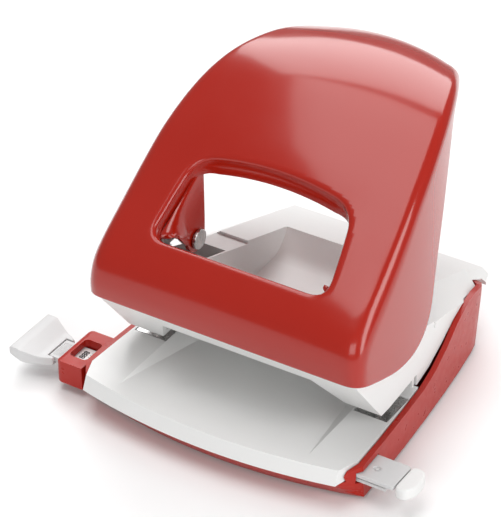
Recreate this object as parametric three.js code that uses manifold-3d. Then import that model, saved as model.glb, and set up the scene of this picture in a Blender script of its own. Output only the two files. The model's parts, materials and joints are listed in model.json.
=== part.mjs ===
// Two-hole desk punch: sheet-metal lever over a moulded cover, a paper deck and a hollow base.
// Millimetres. +X to the right, +Y to the back, +Z up. The paper goes in from -Y.
// The origin is on the table, in the plane of symmetry.
import * as THREE from 'three';
import { mergeVertices } from 'three/addons/utils/BufferGeometryUtils.js';
import Module from 'manifold-3d';

const wasm = await Module();
wasm.setup();

// ---------------------------------------------------------------- driving dimensions
const fit = 0.35;               // gap between pieces that sit together
const slideFit = 0.1;           // radial gap round a pin or a punch that runs in a bore

// Punching
const holeSpacing = 80;         // between the two holes
const holeMargin = 12;          // from the paper's edge to a hole's centre
const punchRadius = 2.75;
const paperStopY = -13.5;
const punchY = paperStopY - holeMargin;

// Base shell
const baseBottomZ = 0.8;
const baseFloor = 2;
const baseWall = 1.8;
const baseFrontHalfWidth = 50;
const baseRearHalfWidth = 41.3;
const baseFrontY = -66.4;
const baseRearY = 40.5;
const baseFrontLean = 6.8;
const baseRearLean = 3.5;
const rimFrontZ = 8.5;
const rimSideZ = 13;
const rimRearZ = 24;
const rimTailZ = 19.6;

// Deck that the paper lies on
const deckTop = 13.7;
const deckThickness = 1.8;
const deckFrontY = -65.3;       // front edge at the middle, top side
const deckCornerX = baseFrontHalfWidth - 4.7;
const deckLipDrop = 4.6;        // height of the turned-down front edge
const deckLipLean = 2.1;        // how far that edge leans out at its foot
const slotHeight = 4.3;         // clear height for the paper under the punch blocks
const rampFrontY = -58;
const rampDrop = 4.4;           // fall of the middle ramp at the paper stop
const rampHalfWidth = 33.9;
const rampFootHalfWidth = 27;

// Cover over the mechanism
const coverWall = 2.2;
const coverInset = 0.7;         // cover's side inside the base's side
const coverFrontHalfWidth = baseFrontHalfWidth - 4.3;
const coverSideLean = 0.06;     // narrowing of the cover's side per millimetre towards the back
const coverRearY = baseRearY + 7.9;
const coverRearZ = 19.7;
const coverShoulderY = -30;
const coverShoulderZ = 45.8;
const coverTailDrop = 2.5;
const stripOuterX = 35;         // outer edge of the sloping side strips
const sideFallPerMm = 0.58;     // fall of the shoulder beside a strip
const valleyHalfWidth = 23.5;
const valleyFloorZ = 21.5;
const valleyRearY = 24;
const ridgeZ = 27;
const pocketInnerX = 26.5;
const pocketFrontY = -37;
const pocketRearY = -12;
const pocketRimZ = 37.5;
const pocketFloorZ = 22;
const throatHalfWidth = 26;
const throatFootHalfWidth = 33;
const throatLipZ = 30;

// Lever and its pivot
const axleY = -47;
const axleZ = 45;
const axleRadius = 2;
const leverSheet = 1.2;
const leverFoldDepth = 5.5;     // depth of the folded edge round the window
const leverCornerRadius = 7;
const leverCrown = 3;           // rise of the lever's middle over its sides at the top
const leverBottomZ = 40.2;
const leverRearY = 45.5;
const leverRearHalfWidth = 34;
const leverWallX = coverFrontHalfWidth + 2.9;   // half width at leverBottomZ
const leverDraft = 0.055;
const leverTaper = 2.2e-5;
const leverFocusY = -15;        // the walls' sections fan out from this line
const leverFocusZ = 25;
const windowLowY = -43.9;
const windowLowZ = 60.4;
const windowHighY = -21.8;
const windowHighZ = 79.5;
const windowLowHalfWidth = 31;
const windowHighHalfWidth = 27.2;
const windowCornerRadius = 4.5;
const lugX = 26;                // inner face of the lugs that hold the drive pins
const drivePinZ = 51.5;
const drivePinRadius = 2;
const drivePinHeadRadius = 3.3;
const drivePinHeadDepth = 1.1;
const bossRadius = 3.6;
const earInnerX = coverFrontHalfWidth - 2.1;
const axleHalfLength = coverFrontHalfWidth + 0.7;

// Punch, guide and spring
const punchTipZ = deckTop + slotHeight + 0.6;
const headBottomZ = 46.5;
const headHeight = 10;
const headWidth = 8;
const guideTopZ = 29;
const guideSize = 12.5;
const bossInnerX = holeSpacing / 2 + headWidth / 2 + 0.6;
const springWire = 0.5;         // radius of the wire
const springCoils = 5;
const springPlay = 0.4;         // between a spring and its punch
const springRadius = punchRadius + springWire + springPlay;
const springRoom = 0.25;        // between a spring and the outer wall of its pocket
const pocketOuterX = holeSpacing / 2 + springRadius + springWire + springRoom;

// Guide rail with its paper stop, scale and window housing
const railY = -46.3;
const railWidth = 9.6;
const railTopZ = 7.7;
const railThickness = 1.8;
const railInnerX = 36;
const housingOuterX = -baseFrontHalfWidth - 10.6;
const stopFaceX = housingOuterX - 7.9;
const stopEndX = stopFaceX - 9.1;
const stopTopZ = 10.4;
const stopHalfWidth = 10.4;
const housingTopZ = 11.2;
const housingBottomZ = 3;
const housingHalfWidth = 9.4;
const scaleThickness = 0.25;

// Lock slide on the right
const lockY = -49.4;
const lockWidth = 11.4;
const lockTopZ = 10.6;
const lockPlate = 1.4;
const lockInnerX = baseFrontHalfWidth - 6;
const lockStepX = baseFrontHalfWidth + 10;
const lockEndX = lockStepX + 7;

// Bottom cover, feet and screws
const chipFrontY = -41;
const chipRearY = -5;
const chipHalfWidth = 36;
const chipBayHalfWidth = 44.5;  // half width where the chips fall
const chipBayFrontY = -31.2;
const chipBayRearY = -14;
const chipRimInset = 1;
const chipRimThickness = 1.4;
const chipRimHeight = 4.4;
const chipThickness = 1.6;
const chipPinRadius = 1.2;
const chipPinY = chipRearY - 2;
const chipPinZ = baseBottomZ + 1.7;
const footRadius = 4.5;
const footSink = 0.7;           // depth that a foot sits up into the base
const footPlaces = [[-39, -46.5], [39, -46.5], [-23, baseRearY - 7.5], [23, baseRearY - 7.5]];
const screwHeadRadius = 2.6;

// ---------------------------------------------------------------- materials
function finish(color, roughness, metalness) {
  return new THREE.MeshStandardMaterial({ color, roughness, metalness });
}
const redPaint = () => finish(0xb1281a, 0.28, 0.1);
const redPlastic = () => finish(0xa82417, 0.42, 0);
const whitePlastic = () => finish(0xe9e9e6, 0.45, 0);
const greyPlastic = () => finish(0xc9c8c6, 0.5, 0);
const darkPlastic = () => finish(0x3a3a3c, 0.6, 0);
const steel = () => finish(0xb9bbbd, 0.3, 0.95);
const rubber = () => finish(0x2a2a2a, 0.85, 0);
const label = () => finish(0xf6f6f4, 0.5, 0);

// ---------------------------------------------------------------- solids
function toSolid(geometry) {
  const bare = geometry.clone();
  bare.deleteAttribute('normal');
  bare.deleteAttribute('uv');
  const merged = mergeVertices(bare, 1e-4);
  return new wasm.Manifold(new wasm.Mesh({
    numProp: 3,
    vertProperties: new Float32Array(merged.attributes.position.array),
    triVerts: new Uint32Array(merged.index.array),
  }));
}

function toGeometry(solid) {
  const mesh = solid.getMesh();
  const geometry = new THREE.BufferGeometry();
  geometry.setAttribute('position', new THREE.BufferAttribute(mesh.vertProperties, 3));
  geometry.setIndex(new THREE.BufferAttribute(mesh.triVerts, 1));
  geometry.computeVertexNormals();
  return geometry;
}

const cut = (solid, ...tools) => tools.reduce((left, tool) => left.subtract(tool), solid);
const join = (solid, ...more) => more.reduce((sum, next) => sum.add(next), solid);
const common = (solid, ...more) => more.reduce((left, next) => left.intersect(next), solid);

// Moves every corner of a geometry by a rule.
function reshape(geometry, rule) {
  const position = geometry.attributes.position;
  const point = new THREE.Vector3();
  for (let i = 0; i < position.count; i += 1) {
    point.fromBufferAttribute(position, i);
    rule(point);
    position.setXYZ(i, point.x, point.y, point.z);
  }
  return geometry;
}

function block([x0, x1], [y0, y1], [z0, z1]) {
  const geometry = new THREE.BoxGeometry(x1 - x0, y1 - y0, z1 - z0);
  geometry.translate((x0 + x1) / 2, (y0 + y1) / 2, (z0 + z1) / 2);
  return toSolid(geometry);
}

function outline(points) {
  return new THREE.Shape(points.map(([a, b]) => new THREE.Vector2(a, b)));
}

// An outline in X and Y, raised from z0 to z1 in equal steps.
function raised(shape, z0, z1, steps = 1) {
  const geometry = new THREE.ExtrudeGeometry(shape, { depth: z1 - z0, steps, bevelEnabled: false });
  geometry.translate(0, 0, z0);
  return geometry;
}

// An outline in Y and Z, drawn out along X from x0 to x1.
function sideways(shape, x0, x1) {
  const geometry = new THREE.ExtrudeGeometry(shape, { depth: x1 - x0, bevelEnabled: false });
  const turn = new THREE.Matrix4().makeBasis(
    new THREE.Vector3(0, 1, 0),
    new THREE.Vector3(0, 0, 1),
    new THREE.Vector3(1, 0, 0),
  );
  geometry.applyMatrix4(turn);
  geometry.translate(x0, 0, 0);
  return toSolid(geometry);
}

// An outline in X and Z, drawn out along Y from y0 to y1.
function lengthways(shape, y0, y1) {
  const geometry = new THREE.ExtrudeGeometry(shape, { depth: y1 - y0, bevelEnabled: false });
  const turn = new THREE.Matrix4().makeBasis(
    new THREE.Vector3(1, 0, 0),
    new THREE.Vector3(0, 0, 1),
    new THREE.Vector3(0, -1, 0),
  );
  geometry.applyMatrix4(turn);
  geometry.translate(0, y1, 0);
  return toSolid(geometry);
}

function rodX(radius, x0, x1, y, z, sides = 24) {
  const geometry = new THREE.CylinderGeometry(radius, radius, x1 - x0, sides);
  geometry.rotateZ(-Math.PI / 2);
  geometry.translate((x0 + x1) / 2, y, z);
  return toSolid(geometry);
}

function rodZ(radius, z0, z1, x = 0, y = 0, sides = 24) {
  const geometry = new THREE.CylinderGeometry(radius, radius, z1 - z0, sides);
  geometry.rotateX(Math.PI / 2);
  geometry.translate(x, y, (z0 + z1) / 2);
  return toSolid(geometry);
}

// A rectangle with round corners, centred on (cx, cy).
function roundRect(cx, cy, width, height, radius) {
  const w = width / 2;
  const h = height / 2;
  const shape = new THREE.Shape();
  shape.moveTo(cx - w + radius, cy - h);
  shape.lineTo(cx + w - radius, cy - h);
  shape.absarc(cx + w - radius, cy - h + radius, radius, -Math.PI / 2, 0);
  shape.lineTo(cx + w, cy + h - radius);
  shape.absarc(cx + w - radius, cy + h - radius, radius, 0, Math.PI / 2);
  shape.lineTo(cx - w + radius, cy + h);
  shape.absarc(cx - w + radius, cy + h - radius, radius, Math.PI / 2, Math.PI);
  shape.lineTo(cx - w, cy - h + radius);
  shape.absarc(cx - w + radius, cy - h + radius, radius, Math.PI, Math.PI * 1.5);
  return new THREE.Shape(shape.getPoints(6));
}

// Rounds every corner of a closed outline with a short curve.
function softened(points, radius, divisions = 4) {
  const shape = new THREE.Shape();
  const count = points.length;
  for (let i = 0; i < count; i += 1) {
    const here = new THREE.Vector2(...points[i]);
    const before = new THREE.Vector2(...points[(i + count - 1) % count]);
    const after = new THREE.Vector2(...points[(i + 1) % count]);
    const reach = Math.min(radius, here.distanceTo(before) / 2.1, here.distanceTo(after) / 2.1);
    const start = here.clone().lerp(before, reach / here.distanceTo(before));
    const end = here.clone().lerp(after, reach / here.distanceTo(after));
    if (i === 0) shape.moveTo(start.x, start.y);
    else shape.lineTo(start.x, start.y);
    shape.quadraticCurveTo(here.x, here.y, end.x, end.y);
  }
  shape.closePath();
  return new THREE.Shape(shape.getPoints(divisions));
}

// ---------------------------------------------------------------- shared outlines
// Half width of the base from front to back.
function baseHalfWidth(y) {
  const start = -53.5;
  const t = THREE.MathUtils.clamp((y - start) / (baseRearY - start), 0, 1);
  const narrowing = baseFrontHalfWidth - baseRearHalfWidth;
  return baseFrontHalfWidth - narrowing * (0.35 * t + 0.65 * t * t);
}

// Plan of the base, drawn in by an inset on every side.
function basePlan(inset) {
  const points = [];
  const cornerX = deckCornerX - inset * 0.8;
  const bow = (x) => baseFrontY + inset + 6 * (x / deckCornerX) ** 2;
  for (let i = -8; i <= 8; i += 1) {
    const x = (cornerX * i) / 8;
    points.push([x, bow(x)]);
  }
  const sideStations = [-53.5 + inset * 0.5, -40, -25, -10, 5, 18, baseRearY - 10.5, baseRearY - 5];
  sideStations.forEach((y) => points.push([baseHalfWidth(y) - inset, y]));
  const rearX = baseRearHalfWidth - inset - 4.5;
  points.push([rearX + 3.2, baseRearY - inset - 1.3]);
  points.push([rearX, baseRearY - inset]);
  points.push([-rearX, baseRearY - inset]);
  points.push([-rearX - 3.2, baseRearY - inset - 1.3]);
  sideStations.reverse().forEach((y) => points.push([inset - baseHalfWidth(y), y]));
  return outline(points);
}

// The base's front wall leans in towards its foot, and so does the rear wall.
function leanBase(point) {
  const frontShare = THREE.MathUtils.clamp((-52.5 - point.y) / 8, 0, 1);
  const rearShare = THREE.MathUtils.clamp((point.y - baseRearY + 15.5) / 12, 0, 1);
  const frontRise = THREE.MathUtils.clamp(point.z / rimFrontZ, 0, 1);
  const rearRise = THREE.MathUtils.clamp(point.z / 20, 0, 1);
  point.y += baseFrontLean * frontShare * (1 - frontRise);
  point.y -= baseRearLean * rearShare * (1 - rearRise);
}

function baseVolume(inset, z0, z1) {
  return toSolid(reshape(raised(basePlan(inset), z0, z1, 12), leanBase));
}

// Upper edge of the base's wall, seen from the side, moved up by a gap.
function rimLine(gap) {
  const points = [[-80, rimFrontZ], [-60.8, rimFrontZ], [-57.5, rimSideZ - 0.6], [-52, rimSideZ]];
  points.push([-12, rimSideZ + 0.4], [-3, rimSideZ + 1.8], [6, rimSideZ + 5], [14, rimRearZ - 2.2]);
  points.push([21, rimRearZ - 0.3], [baseRearY - 11.5, rimRearZ - 0.2], [baseRearY - 4.5, rimRearZ - 1.8]);
  points.push([baseRearY + 1, rimTailZ]);
  return points.map(([y, z]) => [y, z + gap]);
}

// ---------------------------------------------------------------- base
const railSlotZ0 = railTopZ - railThickness - fit;
const railSlotZ1 = railTopZ + scaleThickness + 2 * fit;
const lockSlotZ0 = lockTopZ - 3.4 - fit;
const frontScrews = [[-41, -36], [41, -36]];
const rearScrews = [[-33, baseRearY - 7.5], [33, baseRearY - 7.5]];
const screwPlaces = [...frontScrews, ...rearScrews];
const screwShankRadius = 1.3;
const screwTopZ = 11;

function railTunnel(x0, x1) {
  const half = railWidth / 2 + fit;
  return block([x0, x1], [railY - half, railY + half], [railSlotZ0, railSlotZ1]);
}

function lockNotch(x0, x1) {
  const half = lockWidth / 2 + fit;
  return block([x0, x1], [lockY - half, lockY + half], [lockSlotZ0, lockTopZ + fit]);
}

function makeBase() {
  const belowRim = sideways(outline([...rimLine(0), [80, rimTailZ], [80, -5], [-80, -5]]), -70, 70);
  const outer = baseVolume(0, baseBottomZ, rimRearZ + 4);
  const inner = baseVolume(baseWall, baseBottomZ + baseFloor, rimRearZ + 6);
  const chipHole = chipVolume(-fit, -1, 6);
  const floorTop = baseBottomZ + baseFloor;
  const bosses = screwPlaces.map(([x, y]) => rodZ(screwHeadRadius + 1.6, baseBottomZ, floorTop + 1.6, x, y));
  const bores = screwPlaces.map(([x, y]) => rodZ(screwShankRadius + fit, -1, 8, x, y));
  const sinks = screwPlaces.map(([x, y]) => rodZ(screwHeadRadius + fit, -1, baseBottomZ + 2.1, x, y));
  const hingeEars = [-1, 1].map((side) => {
    const ends = [chipHalfWidth + fit, chipHalfWidth + fit + 3];
    const [x0, x1] = side < 0 ? [-ends[1], -ends[0]] : ends;
    return block([x0, x1], [chipPinY - 3, chipPinY + 3], [baseBottomZ, floorTop + 2]);
  });
  const hingeBore = rodX(chipPinRadius + slideFit, -chipHalfWidth - 2.4, chipHalfWidth + 2.4,
    chipPinY, chipPinZ, 16);
  const shell = cut(common(outer, belowRim), inner, deckRoom(), chipHole,
    railTunnel(-baseFrontHalfWidth - 10, -40), lockNotch(40, baseFrontHalfWidth + 10));
  const seatTop = baseBottomZ + footSink + fit;
  const footSeats = footPlaces.map(([x, y]) => rodZ(footRadius + fit, -1, seatTop, x, y));
  return cut(join(shell, ...bosses, ...hingeEars), ...bores, ...sinks, ...footSeats, hingeBore);
}

// The room that the deck takes up inside the base's wall.
function deckRoom() {
  const foot = deckTop - deckLipDrop - fit;
  return toSolid(reshape(raised(deckPlan(-fit), foot, deckTop + 6, 3), leanDeckLip));
}

function makeFoot() {
  return toGeometry(rodZ(footRadius, 0, baseBottomZ + footSink, 0, 0, 28));
}

function makeScrew() {
  const head = rodZ(screwHeadRadius, 0, 1.6, 0, 0, 20);
  const shank = rodZ(screwShankRadius, 1.5, screwTopZ, 0, 0, 16);
  const slot = block([-2, 2], [-0.35, 0.35], [-1, 0.7]);
  return toGeometry(cut(join(head, shank), slot));
}

// ---------------------------------------------------------------- chip cover under the base
// A rectangle with a bay at each side under the punches, drawn in by an inset.
function chipVolume(inset, z0, z1, rearY = chipRearY) {
  const main = block([inset - chipHalfWidth, chipHalfWidth - inset],
    [chipFrontY + inset, rearY - inset], [z0, z1]);
  const bays = block([inset - chipBayHalfWidth, chipBayHalfWidth - inset],
    [chipBayFrontY + inset, chipBayRearY - inset], [z0, z1]);
  return join(main, bays);
}

function makeChipCover() {
  const z0 = baseBottomZ;
  const rearY = chipRearY - 3.2;
  const plate = chipVolume(0, z0, z0 + chipThickness, rearY);
  const tray = chipVolume(chipRimInset, z0 + 0.2, z0 + chipRimHeight, rearY);
  const trayHollow = chipVolume(chipRimInset + chipRimThickness, z0 + chipThickness,
    z0 + chipRimHeight + 1, rearY);
  const knuckle = block([-chipHalfWidth + 6, chipHalfWidth - 6], [chipRearY - 4.5, chipRearY - 0.4],
    [z0, z0 + 3.2]);
  const bore = rodX(chipPinRadius + slideFit, -50, 50, chipPinY, chipPinZ, 16);
  const grip = block([-9, 9], [chipFrontY + 4, chipFrontY + 7], [-1, z0 + 0.7]);
  return cut(join(plate, tray, knuckle), trayHollow, bore, grip);
}

// ---------------------------------------------------------------- deck
// Removes the sloping ramp in the deck's middle; its sides draw in as it falls.
function rampVolume(drop, widen, topZ) {
  const geometry = new THREE.BoxGeometry(1, 1, 1);
  const rearY = paperStopY;
  reshape(geometry, (point) => {
    const rear = point.y > 0;
    const upper = point.z > 0;
    const foot = rear ? rampFootHalfWidth : rampHalfWidth;
    const fall = rear ? rampDrop : 0;
    const z = upper ? topZ : deckTop - fall - drop;
    const spread = (rampHalfWidth - rampFootHalfWidth) / rampDrop;
    const half = rear ? foot + spread * (z - (deckTop - fall)) : foot + spread * (z - deckTop);
    point.set(Math.sign(point.x) * (half + widen), rear ? rearY : rampFrontY, z);
  });
  return toSolid(geometry);
}

function deckPlan(inset) {
  const points = [];
  const frontX = deckCornerX - inset;
  for (let i = -8; i <= 8; i += 1) {
    const x = (frontX * i) / 8;
    points.push([x, deckFrontY + inset + 5.3 * (x / deckCornerX) ** 2]);
  }
  const sideGap = baseWall + fit + inset;
  const stations = [-53, -40, -25, paperStopY + 1.6];
  stations.forEach((y) => points.push([baseHalfWidth(y) - sideGap, y]));
  stations.reverse().forEach((y) => points.push([sideGap - baseHalfWidth(y), y]));
  return outline(points);
}

function leanDeckLip(point) {
  const share = THREE.MathUtils.clamp((-55 - point.y) / 4, 0, 1);
  point.y -= deckLipLean * share * ((deckTop - point.z) / deckLipDrop);
}

function makeDeck() {
  const underside = deckTop - deckThickness;
  const plate = toSolid(raised(deckPlan(0), underside, deckTop));
  const apron = toSolid(reshape(raised(deckPlan(0), deckTop - deckLipDrop, deckTop, 3), leanDeckLip));
  const apronHollow = toSolid(raised(deckPlan(2.2), deckTop - deckLipDrop - 1, underside));
  const frontHalf = block([-60, 60], [-80, -56], [0, 20]);
  const lip = common(cut(apron, apronHollow), frontHalf);
  const belly = rampVolume(deckThickness, 1.5, underside + 0.4);
  const ramp = rampVolume(0, 0, deckTop + 3);
  const stopRib = block([-44, 44], [paperStopY, paperStopY + 1.5], [underside, deckTop + slotHeight - fit]);
  const diePockets = [-1, 1].map((side) => dieBlock(side, fit));
  const posts = frontScrews.map(([x, y]) => rodZ(screwShankRadius + 1.4, 6.2, underside + 0.5, x, y));
  const postBores = frontScrews.map(([x, y]) => rodZ(screwShankRadius + slideFit, 5, screwTopZ + 1.3, x, y));
  const plain = join(cut(join(plate, lip, belly), ramp), stopRib, ...posts);
  return cut(plain, ...diePockets, ...postBores);
}

const dieSize = 13;
const dieDepth = 1.6;

function dieBlock(side, gap) {
  const half = dieSize / 2 + gap;
  const x = (side * holeSpacing) / 2;
  const halfX = Math.min(half, baseHalfWidth(punchY) - baseWall - holeSpacing / 2 - 1.2 + gap);
  return block([x - halfX, x + halfX], [punchY - half, punchY + half],
    [deckTop - dieDepth - gap - 0.15, deckTop + (gap ? 3 : -0.15)]);
}

function makeDie(side) {
  const bore = rodZ(punchRadius + slideFit, 0, 30, (side * holeSpacing) / 2, punchY, 32);
  return cut(dieBlock(side, 0), bore);
}

// ---------------------------------------------------------------- cover
const slotRoofZ = deckTop + slotHeight;
const frontFaceLow = [-35.4, slotRoofZ];
const frontFaceHigh = [-51.4, 38.4];

// Side view of the cover; an inset draws every wall in.
function coverSide() {
  const rim = rimLine(fit).filter(([y]) => y > paperStopY + 5);
  return outline([
    frontFaceLow,
    [paperStopY + 1.5 + fit, slotRoofZ],
    [paperStopY + 1.7 + fit, rimSideZ + 0.8],
    ...rim,
    [baseRearY + 1.7, rimTailZ + fit],
    [baseRearY + 2.7, coverRearZ - coverTailDrop],
    [coverRearY, coverRearZ - coverTailDrop],
    [coverRearY, coverRearZ],
    [coverShoulderY, coverShoulderZ],
    [-38, 48],
    [-44.5, 49.3],
    [-49.2, 48],
    [-50.6, 44],
    frontFaceHigh,
  ]);
}

// The cover's side stays inside the lever's side wall when the lever is down.
function coverSideX(y) {
  return coverFrontHalfWidth - coverSideLean * Math.max(0, y + 30);
}

function coverPlan(inset) {
  const points = [];
  const lastY = baseRearY + 0.5;
  const stations = [-60, -45, -30, -15, 0, 12, 24, lastY - 7, lastY];
  const half = (y) => Math.min(baseHalfWidth(y) - coverInset, coverSideX(y)) - inset;
  stations.forEach((y) => points.push([half(y), y]));
  const endY = coverRearY + 12 - inset;
  points.push([half(lastY) - 2.5, lastY + 6], [half(lastY) - 5.6, endY]);
  points.push([5.6 - half(lastY), endY], [2.5 - half(lastY), lastY + 6]);
  stations.reverse().forEach((y) => points.push([-half(y), y]));
  return outline(points);
}

// Everything under the shoulders, which fall away on each side of the strips.
function underShoulders(drop) {
  const topAt = (y) => coverRearZ + ((coverRearY - y) * (coverShoulderZ - coverRearZ))
    / (coverRearY - coverShoulderY);
  const shape = outline([[-60, -20], [60, -20], [60, 0], [stripOuterX + 2, 0], [stripOuterX - 1, 1.2],
    [1 - stripOuterX, 1.2], [-stripOuterX - 2, 0], [-60, 0]]);
  const geometry = new THREE.ExtrudeGeometry(shape, { depth: 1, bevelEnabled: false });
  reshape(geometry, (point) => {
    const y = point.z > 0.5 ? -70 : 70;
    const outward = Math.max(0, Math.abs(point.x) - stripOuterX);
    const low = point.y < -10;
    const z = low ? -10 : topAt(y) + point.y - sideFallPerMm * outward - drop;
    point.set(point.x, y, z);
  });
  return toSolid(geometry);
}

function throatVolume() {
  const roof = sideways(outline([[-60, 10], [paperStopY + 1, 10], [paperStopY + 1, slotRoofZ],
    [-20, slotRoofZ + 1.6], [-44.8, throatLipZ], [-60, throatLipZ]]), -40, 40);
  const sides = lengthways(outline([[-throatFootHalfWidth - 4, 10], [throatFootHalfWidth + 4, 10],
    [throatFootHalfWidth, slotRoofZ - 0.5], [throatHalfWidth, throatLipZ + 1],
    [-throatHalfWidth, throatLipZ + 1], [-throatFootHalfWidth, slotRoofZ - 0.5]]), -61, 0);
  return common(roof, sides);
}

function valleyVolume() {
  const side = softened([[valleyRearY, 60], [valleyRearY, 28], [valleyRearY - 6, valleyFloorZ],
    [-14, valleyFloorZ], [-37, 34], [-39, 60]], 4);
  return sideways(side, -valleyHalfWidth, valleyHalfWidth);
}

function coverPocket(side) {
  const place = (x0, x1) => (side < 0 ? [-x1, -x0] : [x0, x1]);
  const rimCut = block(place(lugX - drivePinHeadDepth - 2 * fit, 80), [pocketFrontY, pocketRearY],
    [pocketRimZ, 70]);
  const well = block(place(pocketInnerX, pocketOuterX), [pocketFrontY, pocketRearY], [pocketFloorZ, 60]);
  const earRoom = block(place(earInnerX - 0.7, 80), [-60, axleY + 5.2], [axleZ - 6, 70]);
  const punchHole = rodZ(punchRadius + 0.5, 0, 40, (side * holeSpacing) / 2, punchY);
  return [rimCut, well, earRoom, punchHole];
}

function makeCover() {
  const floorZ = valleyFloorZ - coverWall;
  const ridgeY = valleyRearY + 2.4;
  const skin = common(sideways(coverSide(), -80, 80), toSolid(raised(coverPlan(0), 0, 70)),
    underShoulders(0));
  const middle = block([-valleyHalfWidth - coverWall, valleyHalfWidth + coverWall], [0, ridgeY],
    [floorZ, ridgeZ - 1]);
  const betweenWalls = common(underShoulders(0), baseVolume(baseWall + fit, rimSideZ, 40),
    block([-60, 60], [0, 60], [rimSideZ, 40]));
  const rearLid = cut(betweenWalls, underShoulders(coverWall));
  const bulk = join(skin, middle, rearLid);
  const hollowSide = sideways(outline([
    [pocketRearY + coverWall, 10], [baseRearY - 1, 10], [baseRearY - 1, rimTailZ - 0.4],
    [baseRearY - 10.5, rimRearZ - 0.4],
    [ridgeY, ridgeZ - 2.4], [ridgeY - 8.4, floorZ], [pocketRearY + coverWall, floorZ],
  ]), -valleyHalfWidth - coverWall, valleyHalfWidth + coverWall);
  const sideHollow = (x0, x1) => sideways(outline([
    [pocketRearY + coverWall, 10], [baseRearY - 1.5, 10], [baseRearY - 1.5, rimTailZ - 0.6],
    [pocketRearY + coverWall, rimTailZ - 0.6 + (baseRearY - 1.5 - pocketRearY - coverWall) * 0.333],
  ]), x0, x1);
  const inside = common(join(hollowSide, sideHollow(valleyHalfWidth + coverWall - 0.5, 60),
    sideHollow(-60, -valleyHalfWidth - coverWall + 0.5)), toSolid(raised(coverPlan(coverWall), 0, 70)),
  underShoulders(coverWall));
  const axleBore = rodX(axleRadius + slideFit, -60, 60, axleY, axleZ);
  const pockets = [-1, 1].flatMap((side) => coverPocket(side));
  const posts = rearScrews.map(([x, y]) => rodZ(screwShankRadius + 1.8, 6.2, 23.5, x, y));
  const postBores = rearScrews.map(([x, y]) => rodZ(screwShankRadius + slideFit, 5, screwTopZ + 1.3, x, y));
  return cut(join(cut(bulk, inside), ...posts), throatVolume(), valleyVolume(), axleBore, ...pockets,
    ...postBores);
}

// ---------------------------------------------------------------- lever
// Half width of the lever at a point of its side wall.
function leverHalfWidth(y, z) {
  const along = Math.max(0, y + 52.6);
  return leverWallX - leverDraft * (z - leverBottomZ) - leverTaper * along ** 3;
}

const leverSpine = new THREE.SplineCurve([
  [-53.4, 33], [-54.2, 40], [-54.4, 46], [-52.4, 53], [-46.9, 59.6], [-37.5, 67.8], [-24.5, 78.6],
  [-13, 87.2], [2, 95], [16, 99.2], [30, 100], [40, 98.2], [49, 94.6], [60, 88],
].map(([y, z]) => new THREE.Vector2(y, z)));

// The space under the lever's outer skin, drawn in by an inset.
function leverVolume(inset, reach) {
  const panelSteps = 8;
  const cornerSteps = 5;
  const wallSteps = 3;
  const half = panelSteps + cornerSteps + wallSteps;
  const rows = 28;
  const radius = Math.max(leverCornerRadius - inset, 0.8);
  const place = (station, row, top, point) => {
    const v = row / rows;
    const spine = leverSpine.getPoint(v);
    const ray = new THREE.Vector2(spine.x - leverFocusY, spine.y - leverFocusZ);
    const full = ray.length() - inset;
    ray.normalize();
    const crown = leverCrown * THREE.MathUtils.smoothstep(v, 0.15, 0.6);
    const at = (rho) => [leverFocusY + ray.x * rho, leverFocusZ + ray.y * rho];
    const side = Math.sign(station);
    const k = Math.abs(station);
    const wallAt = (rho) => leverHalfWidth(...at(rho)) - inset;
    const shoulder = full - crown - radius;
    const flatHalf = wallAt(shoulder) - radius;
    let x;
    let rho;
    if (k <= panelSteps) {
      x = (flatHalf * k) / panelSteps;
      rho = full - crown * (k / panelSteps) ** 2;
    } else if (k <= panelSteps + cornerSteps) {
      const angle = ((k - panelSteps) / cornerSteps) * (Math.PI / 2);
      x = flatHalf + radius * Math.sin(angle);
      rho = full - crown - radius * (1 - Math.cos(angle));
    } else {
      const t = (k - panelSteps - cornerSteps) / wallSteps;
      rho = THREE.MathUtils.lerp(shoulder, reach, t);
      x = wallAt(rho);
    }
    if (!top) rho = reach - 2;
    const [y, z] = at(rho);
    point.set(side * x, y, z);
  };
  const geometry = new THREE.BoxGeometry(2, 1, 1, 2 * half, rows, 1);
  reshape(geometry, (point) => {
    const station = Math.round(point.x * half);
    const row = Math.round((point.y + 0.5) * rows);
    place(station, row, point.z > 0, point);
  });
  return toSolid(geometry);
}

// The window's outline, drawn on the lever's slope and pushed right through it.
function windowVolume(grow) {
  const slope = new THREE.Vector3(0, windowHighY - windowLowY, windowHighZ - windowLowZ);
  const length = slope.length();
  slope.normalize();
  const across = new THREE.Vector3(1, 0, 0);
  const out = new THREE.Vector3().crossVectors(across, slope);
  const low = windowLowHalfWidth + grow;
  const high = windowHighHalfWidth + grow;
  const shape = softened([[-low, -grow], [low, -grow], [high, length + grow], [-high, length + grow]],
    windowCornerRadius + grow, 5);
  const geometry = new THREE.ExtrudeGeometry(shape, { depth: 60, bevelEnabled: false });
  geometry.translate(0, 0, -30);
  geometry.applyMatrix4(new THREE.Matrix4().makeBasis(across, slope, out));
  geometry.translate(0, windowLowY, windowLowZ);
  return toSolid(geometry);
}

function leverSideView() {
  return softened([[-80, 130], [-80, leverBottomZ], [-52.6, leverBottomZ], [-39, 35.6], [-30, 33.3],
    [-20, 33], [-12, 36], [-7, 41.5], [-3.5, 50], [-0.3, 57.3], [4.1, 65.6], [9.8, 76.2], [15.6, 85.3],
    [22.5, 92.2], [34, 92.5], [60, 84], [60, 130]], 3, 3);
}

function leverTopView() {
  const shape = new THREE.Shape();
  shape.moveTo(-70, -80);
  shape.lineTo(70, -80);
  shape.lineTo(70, 8);
  const wide = leverRearHalfWidth + 4;
  const narrow = leverRearHalfWidth - 4;
  const bendY = leverRearY - 9.5;
  shape.bezierCurveTo(wide, bendY, narrow, leverRearY, 0, leverRearY);
  shape.bezierCurveTo(-narrow, leverRearY, -wide, bendY, -70, 8);
  shape.closePath();
  return toSolid(raised(new THREE.Shape(shape.getPoints(14)), 0, 140));
}

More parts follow.
